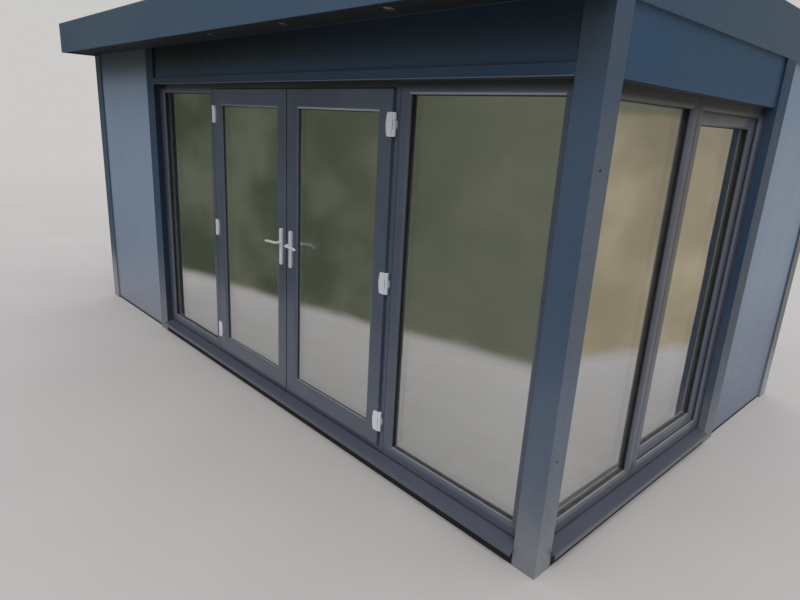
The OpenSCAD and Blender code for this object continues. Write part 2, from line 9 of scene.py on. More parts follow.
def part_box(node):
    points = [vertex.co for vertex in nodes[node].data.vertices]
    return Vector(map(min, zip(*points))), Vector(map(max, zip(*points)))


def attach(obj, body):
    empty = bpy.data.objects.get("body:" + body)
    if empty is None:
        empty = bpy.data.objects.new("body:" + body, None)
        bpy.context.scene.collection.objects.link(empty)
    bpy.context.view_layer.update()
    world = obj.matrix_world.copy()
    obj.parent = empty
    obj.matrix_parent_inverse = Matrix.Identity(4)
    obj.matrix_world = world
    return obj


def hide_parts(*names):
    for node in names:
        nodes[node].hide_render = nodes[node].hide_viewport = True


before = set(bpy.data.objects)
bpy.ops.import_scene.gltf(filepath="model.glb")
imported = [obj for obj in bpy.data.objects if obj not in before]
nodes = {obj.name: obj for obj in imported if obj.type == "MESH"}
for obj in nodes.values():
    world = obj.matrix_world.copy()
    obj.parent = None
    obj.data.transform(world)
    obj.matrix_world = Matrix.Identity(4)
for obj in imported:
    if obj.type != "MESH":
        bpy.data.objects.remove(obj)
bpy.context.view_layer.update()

# Wall faces and heights taken from the frame
FRONT_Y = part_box("corner_post")[0].y
SIDE_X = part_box("corner_post")[1].x
BACK_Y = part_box("corner_trims")[1].y
LEFT_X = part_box("corner_trims")[0].x
POST_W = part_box("corner_post")[1].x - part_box("corner_post")[0].x
SOFFIT_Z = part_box("soffit")[0].z
HEAD_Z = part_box("head_trim")[0].z
SILL_LOW, SILL_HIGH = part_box("window_sills")

# Sizes of the construction that the frame doesn't give: sills, trims, wall and roof
SILL_FALL = 0.018
NOSE_H = 0.012
TRIM_T = 0.014
WALL_T = 0.114
LINING_T = 0.010
ROOM_SET = WALL_T + LINING_T
ROOF_REAR_T = 0.025

# Profile sizes of the frames: (face width, distance from face to glass)
FIXED = (0.065, 0.030)
SASH = (0.076, 0.030)
LEAF = (0.110, 0.020)

# Depth of a frame's rounded edge, thickness of a sealed unit, depth of the lip in front of the sash,
# inset of the leaves' pocket and depth of the stop that they close against
BEAD_D = 0.014
UNIT_T = 0.028
LIP_T = 0.022
POCKET = 0.034
STOP_D = 0.054

PI = math.pi


# Geometry

def front(along, depth, z):
    """Point on the front wall: along +X, depth inwards."""
    return Vector((along, FRONT_Y + depth, z))


def side(along, depth, z):
    """Point on the glazed side wall: along +Y, depth inwards."""
    return Vector((SIDE_X - depth, along, z))


def extent(wall, node):
    """Start, end, face depth, foot and head of a node, as seen from outside its wall."""
    low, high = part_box(node)
    if wall is front:
        return low.x, high.x, low.y - FRONT_Y, low.z, high.z
    return low.y, high.y, SIDE_X - high.x, low.z, high.z


def directions(wall):
    """Unit steps along a wall and into it."""
    return wall(1, 0, 0) - wall(0, 0, 0), wall(0, 1, 0) - wall(0, 0, 0)


def loft(bm, loops, closed=False):
    """Skin over loops of points, capped at both ends unless it closes on itself."""
    made = [[bm.verts.new(point) for point in loop] for loop in loops]
    count = len(made[0])
    for i in range(0 if closed else 1, len(made)):
        for k in range(count):
            n = (k + 1) % count
            bm.faces.new((made[i - 1][k], made[i - 1][n], made[i][n], made[i][k]))
    if not closed:
        bm.faces.new(made[0])
        bm.faces.new(made[-1])


def ring(bm, wall, member, profile):
    """Mitred ring inside a member's outline. The profile lists (inset, depth behind the face)."""
    a0, a1, face, z0, z1 = member
    loops = []
    for inset, depth in profile:
        corners = ((a0 + inset, z0 + inset), (a1 - inset, z0 + inset),
                   (a1 - inset, z1 - inset), (a0 + inset, z1 - inset))
        loops.append([wall(a, face + depth, z) for a, z in corners])
    loft(bm, loops, closed=True)


def bar(bm, start, end, outline):
    """Straight bar: the outline lists offsets from the line between start and end."""
    loft(bm, [[Vector(start) + Vector(p) for p in outline], [Vector(end) + Vector(p) for p in outline]])


def block(bm, low, high, chamfer):
    """Box with softened edges."""
    low, high = Vector(low), Vector(high)
    place = Matrix.Translation((low + high) / 2) @ Matrix.Diagonal((*(high - low), 1))
    made = bmesh.ops.create_cube(bm, size=1.0, matrix=place)
    edges = list(dict.fromkeys(e for v in made["verts"] for e in v.link_edges))
    bmesh.ops.bevel(bm, geom=edges, offset=chamfer, segments=2, affect="EDGES", profile=0.5)


def lathe(bm, outline, place, axis, steps):
    """Turned form: the outline lists (radius, height) along an axis from place, from pole to pole."""
    turn = Vector((0, 0, 1)).rotation_difference(Vector(axis)).to_matrix()
    loops = []
    for i in range(steps):
        angle = 2 * PI * i / steps
        spoke = Vector((math.cos(angle), math.sin(angle), 0))
        loops.append([Vector(place) + turn @ (spoke * r + Vector((0, 0, h))) for r, h in outline])
    made = [[bm.verts.new(p) for p in loop] for loop in loops]
    for i in range(steps):
        for k in range(len(outline) - 1):
            bm.faces.new((made[i - 1][k], made[i][k], made[i][k + 1], made[i - 1][k + 1]))
    bmesh.ops.remove_doubles(bm, verts=[v for loop in made for v in loop], dist=1e-6)


def new_object(name, bm, material):
    """Turns a bmesh into an object of the scene."""
    mesh = bpy.data.meshes.new(name)
    bm.to_mesh(mesh)
    bm.free()
    mesh.materials.append(material)
    made = bpy.data.objects.new(name, mesh)
    bpy.context.scene.collection.objects.link(made)
    return made


def piece(name, bm, material, body, smooth=False):
    """Turns a bmesh into a piece that rides on a body."""
    bmesh.ops.recalc_face_normals(bm, faces=bm.faces)
    made = new_object(name, bm, material)
    if smooth:
        made.data.shade_smooth()
        made.data.set_sharp_from_angle(angle=math.radians(35))
    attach(made, body)
    return made


# Material building

def srgb(r, g, b):
    """Linear colour of an 8-bit screen colour."""
    def linear(c):
        c /= 255
        return c / 12.92 if c <= 0.04045 else ((c + 0.055) / 1.055) ** 2.4
    return linear(r), linear(g), linear(b), 1.0


# Shade of the overhang on faces turned to the front: its tone, then start and end height, least and most
DEEP_SHADE = srgb(14, 20, 28)
UPRIGHT_SHADE = (HEAD_Z - 0.20, SOFFIT_Z + 0.03, 0.0, 0.75)
HEADER_SHADE = (HEAD_Z + 0.05, SOFFIT_Z - 0.09, 0.42, 0.94)
PANEL_SHADE = (HEAD_Z - 0.05, SOFFIT_Z - 0.07, 0.0, 0.74)


class Finish:
    """Shorthand for one material's node tree. Vectors are in the object's own space, in metres."""

    def __init__(self, name, roughness=0.5, metallic=0.0, **sockets):
        self.material = bpy.data.materials.new(name)
        self.material.use_nodes = True
        self.tree = self.material.node_tree
        self.shader = self.tree.nodes["Principled BSDF"]
        self.shader.inputs["Roughness"].default_value = roughness
        self.shader.inputs["Metallic"].default_value = metallic
        for socket, value in sockets.items():
            self.shader.inputs[socket.replace("_", " ")].default_value = value
        place = self.add("ShaderNodeTexCoord")
        self.place = place.outputs["Object"]
        self.facing = place.outputs["Normal"]

    def feed(self, socket, value):
        """Links a socket to another node's output, or sets a plain value."""
        if isinstance(value, bpy.types.NodeSocket):
            self.tree.links.new(value, socket)
        else:
            socket.default_value = value

    def add(self, kind, inputs=(), **settings):
        """New node, with its settings and with values or links for its inputs."""
        node = self.tree.nodes.new(kind)
        for key, value in settings.items():
            setattr(node, key, value)
        for key, value in dict(inputs).items():
            self.feed(node.inputs[key], value)
        return node

    def math(self, operation, a, b=0.0, c=0.0):
        """Result of one operation on up to three values."""
        return self.add("ShaderNodeMath", {0: a, 1: b, 2: c}, operation=operation).outputs[0]

    def xyz(self, vector):
        """The three parts of a vector."""
        return self.add("ShaderNodeSeparateXYZ", {0: vector}).outputs

    def stretch(self, x, y, z, vector=None):
        """Place, or another vector, times x, y and z."""
        return self.add("ShaderNodeMapping", {"Vector": vector or self.place, "Scale": (x, y, z)}).outputs[0]

    def noise(self, scale, detail, roughness=0.55, vector=None):
        """Noise over the object, or over another vector, mostly between 0.3 and 0.7."""
        settings = {"Vector": vector or self.place, "Scale": scale, "Detail": detail, "Roughness": roughness}
        return self.add("ShaderNodeTexNoise", settings).outputs["Fac"]

    def patches(self, scale, detail, start=0.0, end=1.0):
        """Soft patches of noise that reach from start to end."""
        return self.span(self.noise(scale, detail), 0.3, 0.7, start, end)

    def span(self, value, low, high, start=0.0, end=1.0):
        """Smooth change from start to end while the value goes from low to high."""
        settings = {"Value": value, "From Min": low, "From Max": high, "To Min": start, "To Max": end}
        return self.add("ShaderNodeMapRange", settings, interpolation_type="SMOOTHSTEP").outputs["Result"]

    def line(self, value, half):
        """1 where the value is within half of nought, fading to 0."""
        return self.span(self.math("ABSOLUTE", value), half * 0.5, half, 1.0, 0.0)

    def mix(self, amount, a, b):
        """Colour that goes from a to b as the amount goes from 0 to 1."""
        node = self.add("ShaderNodeMix", data_type="RGBA")
        self.feed(node.inputs[0], amount)
        self.feed(node.inputs[6], a)
        self.feed(node.inputs[7], b)
        return node.outputs[2]

    def soft_edge(self, radius):
        """Normal that rounds the edges by a radius."""
        return self.add("ShaderNodeBevel", {"Radius": radius}, samples=4).outputs[0]

    def edge_mask(self, soft):
        """1 on edges, from how far the softened normal leaves the true one."""
        true = self.add("ShaderNodeNewGeometry").outputs["Normal"]
        dot = self.add("ShaderNodeVectorMath", {0: soft, 1: true}, operation="DOT_PRODUCT").outputs["Value"]
        return self.span(dot, 0.75, 0.995, 1.0, 0.0)

    def bump(self, height, distance, normal=None):
        """Normal of a relief whose height is a distance in metres for each 1."""
        node = self.add("ShaderNodeBump", {"Height": height, "Distance": distance, "Strength": 1.0})
        if normal is not None:
            self.feed(node.inputs["Normal"], normal)
        return node.outputs[0]

    def on_side(self):
        """1 on faces turned to the glazed side."""
        return self.span(self.xyz(self.facing)[0], 0.5, 0.9)

    def above_floor(self, scale, sway):
        """Height above the floor with an uneven edge."""
        return self.math("ADD", self.xyz(self.place)[2], self.math("MULTIPLY", self.noise(scale, 5), -sway))

    def shade(self, colour, low, high, least, most):
        """Darkens faces turned to the front under the overhang, from height low to high, most on the left."""
        parts, facing = self.xyz(self.place), self.xyz(self.facing)
        amount = self.math("MULTIPLY", self.span(parts[2], low, high, least, most),
                           self.span(facing[1], -0.9, -0.5, 1.0, 0.0))
        amount = self.math("MULTIPLY", amount, self.span(parts[0], -1.0, 2.0, 1.0, 0.80))
        return self.mix(amount, colour, DEEP_SHADE)

    def done(self, colour=None, roughness=None, normal=None):
        """Feeds the shader what is given and returns the material."""
        for socket, value in (("Base Color", colour), ("Roughness", roughness), ("Normal", normal)):
            if value is not None:
                self.feed(self.shader.inputs[socket], value)
        return self.material


STEEL_SPLASH, STEEL_DUST = srgb(150, 148, 147), srgb(136, 134, 132)
# Lighter tone of folds, for wear and for a painted highlight
STEEL_RUBBED_AND_LIT = srgb(132, 141, 152)
# Painted shade on faces turned to the glazed side, and where the sheet turns in beside the left light
STEEL_SIDE_SHADE = srgb(14, 66, 104)
STEEL_RETURN_SHADE = srgb(30, 38, 52)


def coated_steel(name, colour, light, gloss=0.38, splash=1.0, rubbed_and_lit=0.25, overhang_shade=None, side_shade=0.0, coat=0.6,
                 shine=0.5, return_shade=False):
    """Satin coated sheet: fine orange peel, faint rain streaks, dust, splash near the ground, and folds made
    lighter, which is both wear and a painted highlight.

    Overhang shade is a painted shade under the overhang, and side shade is how far faces turned to the glazed
    side take a painted shade of deeper blue. Return shade is a painted shade where the sheet turns in beside
    the left light. Rubbed and lit is how strongly the folds go lighter.
    """
    f = Finish(name, Coat_Weight=coat, Coat_Roughness=0.18, Specular_IOR_Level=shine)
    soft = f.soft_edge(0.0018)
    grain = f.noise(260, 2)
    streaks = f.noise(1.0, 4, 0.6, f.stretch(24, 24, 0.8))
    colour = f.mix(f.patches(1.4, 4, 0.0, 0.30), colour, light)
    colour = f.mix(f.span(streaks, 0.56, 0.80, 0.0, 0.10), colour, light)
    colour = f.mix(f.span(grain, 0.45, 0.75, 0.0, 0.08), colour, light)
    # Painted shade under the overhang
    if overhang_shade:
        colour = f.shade(colour, *overhang_shade)
    # Painted shade, in a deeper blue, on faces turned to the glazed side
    if side_shade:
        colour = f.mix(f.math("MULTIPLY", f.on_side(), side_shade), colour, STEEL_SIDE_SHADE)
    if splash:
        height = f.above_floor(9, 0.30)
        colour = f.mix(f.span(height, -0.15, 0.40, 0.46 * splash, 0.0), colour, STEEL_SPLASH)
        colour = f.mix(f.span(height, 0.0, 1.2, 0.20 * splash, 0.0), colour, STEEL_DUST)
    # Painted shade where the sheet turns in beside the left light
    if return_shade:
        on_left = f.span(f.xyz(f.place)[0], 0.0, 1.0, 0.85, 0.0)
        colour = f.mix(f.math("MULTIPLY", f.on_side(), on_left), colour, STEEL_RETURN_SHADE)
    # Folds made lighter: wear and a painted highlight
    colour = f.mix(f.math("MULTIPLY", f.edge_mask(soft), rubbed_and_lit), colour, STEEL_RUBBED_AND_LIT)
    rough = f.patches(34, 5, gloss - 0.05, gloss + 0.08)
    peel = f.math("ADD", f.noise(420, 2), f.math("MULTIPLY", f.noise(5, 2), 6.0))
    return f.done(colour, rough, f.bump(peel, 0.00003, soft))


FOIL_DARK, FOIL_LIGHT = srgb(65, 74, 92), srgb(75, 84, 102)
# Painted sheen of rounded edges, and painted highlight of rounded edges that face down or up
FOIL_ROUNDED_SHEEN, FOIL_LIT = srgb(104, 104, 118), srgb(186, 187, 194)
FOIL_GRAIN, FOIL_WELD = srgb(50, 53, 65), srgb(34, 36, 43)
# Dust at the foot, and lighter edges for wear and a painted highlight
FOIL_DUST, FOIL_RUBBED_AND_LIT = srgb(124, 122, 122), srgb(150, 153, 164)
# Painted shade at the head of front and side frames
HEAD_DARK_FRONT, HEAD_DARK_SIDE = srgb(8, 10, 15), srgb(17, 19, 40)
FOIL_COAT = 0.6


def foil(node, across, glint):
    """Anthracite foil on a welded frame: grain along each member, weld lines in its corners, a painted shade
    at its head, a painted sheen on rounded edges and a painted highlight on those that face down or up.

    Across is the axis along the frame's wall, and glint is the strength of the painted highlight on rounded
    edges that face down.
    """
    low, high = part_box(node)
    f = Finish(node + "_foil", Coat_Weight=FOIL_COAT, Coat_Roughness=0.14)
    soft = f.soft_edge(0.0020)
    parts = f.xyz(f.place)
    on_front = across == "x"
    along, into = (0, 1) if on_front else (1, 0)
    a, z = parts[along], parts[2]
    to_jamb = f.math("MINIMUM", f.math("SUBTRACT", a, low[along]), f.math("SUBTRACT", high[along], a))
    to_end = f.math("MINIMUM", f.math("SUBTRACT", z, low.z), f.math("SUBTRACT", high.z, z))
    upright = f.math("LESS_THAN", to_jamb, to_end)
    weld = f.line(f.math("SUBTRACT", to_jamb, to_end), 0.0009)
    up_grain = f.noise(1.0, 4, 0.6, f.stretch(420, 420, 9))
    flat_grain = f.noise(1.0, 4, 0.6, f.stretch(9, 9, 420))
    grain = f.mix(upright, flat_grain, up_grain)
    colour = f.mix(f.patches(2.2, 4), FOIL_DARK, FOIL_LIGHT)
    turned = f.xyz(f.facing)
    flat = f.math("ABSOLUTE", turned[into])
    rounded = f.math("MULTIPLY", f.span(flat, 0.78, 0.99, 1.0, 0.0), f.span(flat, 0.02, 0.10))
    under = f.span(turned[2], -0.25, -0.05, glint, 0.0)
    over = f.span(turned[2], 0.86, 0.97, 0.0, 0.9)
    # Painted sheen on rounded edges, then a painted highlight on those that face down or up
    colour = f.mix(f.math("MULTIPLY", rounded, 0.35), colour, FOIL_ROUNDED_SHEEN)
    lit = f.math("MULTIPLY", rounded, f.math("MAXIMUM", under, over))
    colour = f.mix(f.math("MULTIPLY", lit, 0.75), colour, FOIL_LIT)
    colour = f.mix(f.span(grain, 0.5, 0.8, 0.0, 0.22), colour, FOIL_GRAIN)
    colour = f.mix(f.span(f.above_floor(8, 0.30), 0.0, 0.5, 0.12, 0.0), colour, FOIL_DUST)
    # Edges made lighter: wear and a painted highlight
    colour = f.mix(f.math("MULTIPLY", f.edge_mask(soft), 0.35), colour, FOIL_RUBBED_AND_LIT)
    colour = f.mix(f.math("MULTIPLY", weld, 0.6), colour, FOIL_WELD)
    if on_front:
        colour = f.mix(f.span(z, HEAD_Z - 0.056, HEAD_Z - 0.018, 0.0, 0.9), colour, HEAD_DARK_FRONT)
    else:
        start = HEAD_Z - 0.110
        colour = f.mix(f.span(z, start, HEAD_Z - 0.020, 0.0, 0.92), colour, HEAD_DARK_SIDE)
        f.feed(f.shader.inputs["Coat Weight"], f.span(z, start, HEAD_Z - 0.030, FOIL_COAT, 0.0))
    relief = f.math("SUBTRACT", grain, f.math("MULTIPLY", weld, 2.5))
    return f.done(colour, f.span(grain, 0.3, 0.7, 0.30, 0.42), f.bump(relief, 0.00005, soft))


SLATE_DARK, SLATE_LIGHT = srgb(127, 146, 171), srgb(133, 151, 175)
SLATE_PATCH, SLATE_RUN = srgb(134, 149, 169), srgb(100, 115, 138)
# Dust at the foot; on the side it is darker, which adds a painted shade
SLATE_DUST_FRONT, SLATE_DUST_AND_SHADE_SIDE = srgb(128, 126, 134), srgb(92, 94, 110)


def slate_panel(name):
    """Smooth faced insulated panel: faint bands, soft run-off marks, dust at the foot with a painted shade on
    the side, and painted shade at the top.
    """
    f = Finish(name, Coat_Weight=0.15, Coat_Roughness=0.35)
    soft = f.soft_edge(0.0015)
    bands = f.noise(1.0, 2, 0.5, f.stretch(4, 4, 0.05))
    runs = f.noise(1.0, 4, 0.6, f.stretch(14, 14, 0.5))
    colour = f.mix(f.span(bands, 0.3, 0.7), SLATE_DARK, SLATE_LIGHT)
    colour = f.mix(f.span(f.noise(1.7, 4), 0.4, 0.8, 0.0, 0.3), colour, SLATE_PATCH)
    colour = f.mix(f.span(runs, 0.62, 0.9, 0.0, 0.08), colour, SLATE_RUN)
    # Dust at the foot, darker on the side as a painted shade
    dust = f.mix(f.on_side(), SLATE_DUST_FRONT, SLATE_DUST_AND_SHADE_SIDE)
    colour = f.mix(f.span(f.above_floor(11, 0.25), -0.2, 1.0, 0.6, 0.0), colour, dust)
    colour = f.shade(colour, *PANEL_SHADE)
    return f.done(colour, f.patches(30, 4, 0.42, 0.52), f.bump(f.noise(420, 3, 0.6), 0.00006, soft))


def glass(name):
    """Solar-control glass that lets light fall in: strong reflection, slight ripple, traces of dried rain."""
    f = Finish(name, roughness=0.0, Transmission_Weight=1.0, IOR=4.2, Coat_Weight=1.0, Coat_Roughness=0.0)
    f.shader.inputs["Base Color"].default_value = (0.96, 0.985, 0.97, 1)
    marks = f.noise(1.0, 5, 0.6, f.stretch(24, 24, 3))
    f.done(roughness=f.span(marks, 0.60, 0.85, 0.0, 0.035), normal=f.bump(f.noise(1.3, 2), 0.0014))
    clear = f.add("ShaderNodeBsdfTransparent", {"Color": (0.85, 0.87, 0.86, 1)})
    shadow = f.add("ShaderNodeLightPath").outputs["Is Shadow Ray"]
    both = f.add("ShaderNodeMixShader", {0: shadow, 1: f.shader.outputs[0], 2: clear.outputs[0]})
    f.tree.links.new(both.outputs[0], f.tree.nodes["Material Output"].inputs["Surface"])
    return f.material


def silver(name):
    """Satin silver fittings: fine brushing, soft edges, faint grime."""
    f = Finish(name, metallic=0.35)
    soft = f.soft_edge(0.0012)
    brushed = f.noise(1.0, 4, 0.6, f.stretch(900, 900, 60))
    grime = f.span(f.noise(45, 5), 0.55, 0.85, 0.0, 0.35)
    colour = f.mix(f.span(brushed, 0.3, 0.7), srgb(222, 227, 236), srgb(236, 240, 247))
    colour = f.mix(grime, colour, srgb(178, 181, 186))
    rough = f.math("ADD", f.span(brushed, 0.3, 0.7, 0.34, 0.42), f.math("MULTIPLY", grime, 0.2))
    return f.done(colour, rough, f.bump(brushed, 0.00002, soft))


def matt(name, dark, light, rough, grain, depth, soft_radius=0.0010, scale=12.0, dust=False):
    """Plain matt or rubbery stuff: fine grain, uneven tone and, if asked, dust on faces that look up."""
    f = Finish(name)
    soft = f.soft_edge(soft_radius)
    fine = f.noise(grain, 3)
    colour = f.mix(f.patches(scale, 5), dark, light)
    colour = f.mix(f.math("MULTIPLY", f.edge_mask(soft), 0.3), colour, light)
    if dust:
        settled = f.math("MULTIPLY", f.span(f.xyz(f.facing)[2], 0.6, 0.95), f.patches(30, 5, 0.35, 0.75))
        colour = f.mix(settled, colour, srgb(104, 101, 98))
    return f.done(colour, f.span(fine, 0.3, 0.7, rough - 0.06, rough + 0.06), f.bump(fine, depth, soft))


def lining_board(name):
    """White faced lining: board joints, roller texture and faint scuffs."""
    f = Finish(name)
    parts = f.xyz(f.place)
    pitch, seam_half = 0.6, 0.0012
    seam_x, seam_y = (f.line(f.math("SUBTRACT", f.math("WRAP", part, pitch, 0.0), pitch / 2), seam_half)
                      for part in parts[:2])
    across = f.math("GREATER_THAN", f.math("ABSOLUTE", f.xyz(f.facing)[1]), 0.5)
    seam = f.add("ShaderNodeMix", {0: across, 2: seam_y, 3: seam_x}).outputs[0]
    colour = f.mix(f.patches(1.3, 4), srgb(206, 205, 200), srgb(222, 221, 217))
    colour = f.mix(f.math("MULTIPLY", seam, 0.6), colour, srgb(120, 120, 118))
    colour = f.mix(f.span(f.noise(24, 6), 0.62, 0.8, 0.0, 0.3), colour, srgb(180, 178, 172))
    height = f.math("SUBTRACT", f.noise(380, 3), f.math("MULTIPLY", seam, 3.0))
    return f.done(colour, 0.6, f.bump(height, 0.00003))


def plank(name):
    """Grey oak laminate: long grain, pores and a tone that differs from plank to plank."""
    f = Finish(name, Coat_Weight=0.2, Coat_Roughness=0.3)
    tone = f.add("ShaderNodeAttribute", attribute_name="plank_tone").outputs["Fac"]
    soft = f.soft_edge(0.0008)
    shift = f.add("ShaderNodeCombineXYZ", {0: f.math("MULTIPLY", tone, 9.0), 1: tone, 2: 0.0}).outputs[0]
    moved = f.add("ShaderNodeVectorMath", {0: f.place, 1: shift}, operation="ADD").outputs[0]
    figure = f.noise(1.0, 6, 0.6, f.stretch(1.6, 26, 26, moved))
    pores = f.noise(1.0, 3, 0.6, f.stretch(14, 520, 520, moved))
    colour = f.mix(f.span(figure, 0.3, 0.7), srgb(156, 151, 144), srgb(194, 189, 181))
    colour = f.mix(f.span(tone, 0.0, 1.0, 0.0, 0.4), colour, srgb(140, 136, 130))
    colour = f.mix(f.span(pores, 0.55, 0.8, 0.0, 0.35), colour, srgb(112, 107, 101))
    return f.done(colour, f.span(pores, 0.3, 0.7, 0.34, 0.48), f.bump(pores, 0.00006, soft))


def membrane(name):
    """Grey roof membrane: smooth sheet with a little dust, and faint rims where shallow puddles dried."""
    f = Finish(name)
    soft = f.soft_edge(0.002)
    puddle = f.noise(1.1, 3, 0.5)
    rim = f.line(f.math("SUBTRACT", puddle, 0.60), 0.022)
    colour = f.mix(f.span(puddle, 0.35, 0.70), srgb(72, 74, 77), srgb(86, 87, 88))
    colour = f.mix(f.math("MULTIPLY", rim, 0.09), colour, srgb(120, 119, 115))
    colour = f.mix(f.span(f.noise(60, 5), 0.50, 0.85, 0.0, 0.25), colour, srgb(112, 110, 106))
    height = f.math("ADD", f.noise(260, 3), f.math("MULTIPLY", f.noise(5, 3), 6.0))
    return f.done(colour, f.patches(20, 3, 0.55, 0.72), f.bump(height, 0.0003, soft))


STEEL = coated_steel("coated_steel", srgb(56, 78, 104), srgb(68, 90, 115), overhang_shade=UPRIGHT_SHADE)
JAMB = coated_steel("jamb_steel", srgb(53, 72, 96), srgb(64, 83, 107), overhang_shade=UPRIGHT_SHADE, coat=0.05,
                    shine=0.15, return_shade=True)
# Fascia and header take a painted shade on faces turned to the glazed side
FASCIA = coated_steel("fascia_steel", srgb(60, 84, 112), srgb(72, 96, 123), splash=0.0, side_shade=0.45)
HEADER = coated_steel("header_steel", srgb(54, 80, 108), srgb(64, 90, 117), splash=0.0, side_shade=0.30, coat=0.15,
                      shine=0.25, overhang_shade=HEADER_SHADE)
# Lighter copy of the steel for the drip edge: a painted highlight
LIT_DRIP = coated_steel("lit_drip_steel", srgb(96, 112, 130), srgb(112, 127, 144), splash=0.0)
SILL = coated_steel("sill_steel", srgb(52, 59, 80), srgb(66, 73, 94), gloss=0.34, splash=0.2, rubbed_and_lit=0.6)
SLATE = slate_panel("slate_panel")
GLASS = glass("window_glass")
SILVER = silver("silver_hardware")
RUBBER = matt("seal_rubber", srgb(17, 17, 20), srgb(30, 31, 34), 0.55, 300, 0.00003, dust=True)
BLACK = matt("black_base", srgb(14, 14, 16), srgb(26, 26, 29), 0.7, 160, 0.0001)
SPACER = matt("pale_spacer", srgb(128, 129, 128), srgb(150, 151, 150), 0.42, 700, 0.00002, 0.0005, 40)
SEALANT = matt("grey_sealant", srgb(34, 36, 44), srgb(50, 52, 60), 0.6, 120, 0.00005)
UNDERSIDE = matt("soffit_sheet", srgb(34, 36, 41), srgb(45, 47, 53), 0.6, 350, 0.00005)
WHITE = lining_board("white_lining")
CORE = matt("panel_core", srgb(176, 170, 150), srgb(196, 190, 172), 0.8, 240, 0.0001)
PLANK = plank("grey_floor")
MEMBRANE = membrane("roof_membrane")
BEZEL = matt("light_bezel", srgb(26, 27, 30), srgb(48, 49, 53), 0.35, 600, 0.00002)
LENS = matt("light_lens", srgb(164, 164, 161), srgb(180, 179, 176), 0.25, 800, 0.00002)


def dress():
    """Finish of every carried-over node."""
    plain = {
        STEEL: "corner_post corner_trims rear_gutter rear_downpipe",
        JAMB: "jamb_trims",
        FASCIA: "front_fascia side_fascias rear_fascia",
        HEADER: "opening_headers head_trim",
        SILL: "window_sills",
        SLATE: "back_wall left_wall front_wall right_wall",
        GLASS: "fixed_glass left_door_glass right_door_glass",
        SPACER: "fixed_spacers left_door_spacer right_door_spacer",
        SILVER: "frame_hinges left_door_hinges right_door_hinges left_door_plates right_door_plates "
                "left_door_levers right_door_levers",
        BLACK: "base_tray",
        UNDERSIDE: "soffit",
        WHITE: "inner_linings ceiling",
        CORE: "floor_panel roof_panel",
        MEMBRANE: "roof_covering",
    }
    # Frames: node, axis along its wall, strength of the painted highlight on its rounded edges that face down
    frames = (("left_light_frame", "x", 0.1), ("right_light_frame", "x", 0.7), ("door_frame", "x", 0.1),
              ("left_door_leaf", "x", 0.4), ("right_door_leaf", "x", 1.0), ("side_light_frame", "y", 0.1),
              ("casement_frame", "y", 0.1), ("casement_sash", "y", 0.1))
    finishes = {name: material for material, names in plain.items() for name in names.split()}
    finishes.update((name, foil(name, across, glint)) for name, across, glint in frames)
    for name, material in finishes.items():
        nodes[name].data.materials.clear()
        nodes[name].data.materials.append(material)


# Pieces

# Everything with a pane: name, wall, node of its frame, profile, body
GLAZED = (
    ("left_light", front, "left_light_frame", FIXED, "pod"),
    ("right_light", front, "right_light_frame", FIXED, "pod"),
    ("side_light", side, "side_light_frame", FIXED, "pod"),
    ("casement", side, "casement_sash", SASH, "pod"),
    ("left_door", front, "left_door_leaf", LEAF, "left_door"),
    ("right_door", front, "right_door_leaf", LEAF, "right_door"),
)


def glazing_seals():
    """Black gasket behind each rounded edge, down the reveal to a lip on the glass, and one inside."""
    skin, lip, clear = 0.0012, 0.004, 0.0002
    for name, wall, node, (sight, glass_at), body in GLAZED:
        inner = glass_at + UNIT_T
        shoulder = min(BEAD_D + 0.003, glass_at - 0.0045)
        outside = [(sight - skin / 2, BEAD_D + 0.001), (sight + skin, shoulder),
                   (sight + skin, glass_at - 0.003), (sight + lip, glass_at - 0.0015),
                   (sight + lip, glass_at - clear), (sight - skin / 2, glass_at - clear)]
        inside = [(sight - skin / 2, inner + clear), (sight + lip, inner + clear),
                  (sight + lip, inner + 0.0015), (sight + skin, inner + 0.003),
                  (sight - skin / 2, inner + 0.004)]
        bm = bmesh.new()
        ring(bm, wall, extent(wall, node), outside)
        ring(bm, wall, extent(wall, node), inside)
        piece(name + "_glass_seals", bm, RUBBER, body)


def sash_seal():
    """Gasket between the casement frame's lip and the face of the sash."""
    sight, proud = FIXED[0], 0.0025
    bm = bmesh.new()
    ring(bm, side, extent(side, "casement_frame"),
         [(sight - 0.001, LIP_T - 0.006), (sight + proud, LIP_T - 0.004), (sight + proud, LIP_T - 0.0003),
          (sight - 0.001, LIP_T - 0.0003)])
    piece("casement_sash_seal", bm, RUBBER, "pod")


def door_seals():
    """Seal in the gap round the leaves, bulb seal on their stop, and a seal on each meeting stile."""
    bm = bmesh.new()
    member = extent(front, "door_frame")
    ring(bm, front, member, [(POCKET - 0.0005, 0.004), (POCKET + 0.0034, 0.005), (POCKET + 0.0034, 0.013),
                             (POCKET - 0.0005, 0.014)])
    bulb_r, bulb_set, sides = 0.0026, 0.012, 8
    bulb_d = STOP_D - bulb_r + 0.0002
    angles = [2 * PI * i / sides for i in range(sides)]
    ring(bm, front, member, [(POCKET + bulb_set + bulb_r * math.cos(a), bulb_d + bulb_r * math.sin(a))
                             for a in angles])
    piece("door_frame_seals", bm, RUBBER, "pod")
    profile = ((0, 0.003), (0.0035, 0.0035), (0.0046, 0.006), (0.0035, 0.0085), (0, 0.009))
    short = 0.002
    for name, edge, out in (("left_door", 1, 1), ("right_door", 0, -1)):
        member = extent(front, name + "_leaf")
        a, (face, z0, z1) = member[edge], member[2:]
        bm = bmesh.new()
        bar(bm, front(a, face, z0 + short), front(a, face, z1 - short), [(out * w, d, 0) for w, d in profile])
        piece(name + "_meeting_seal", bm, RUBBER, name)


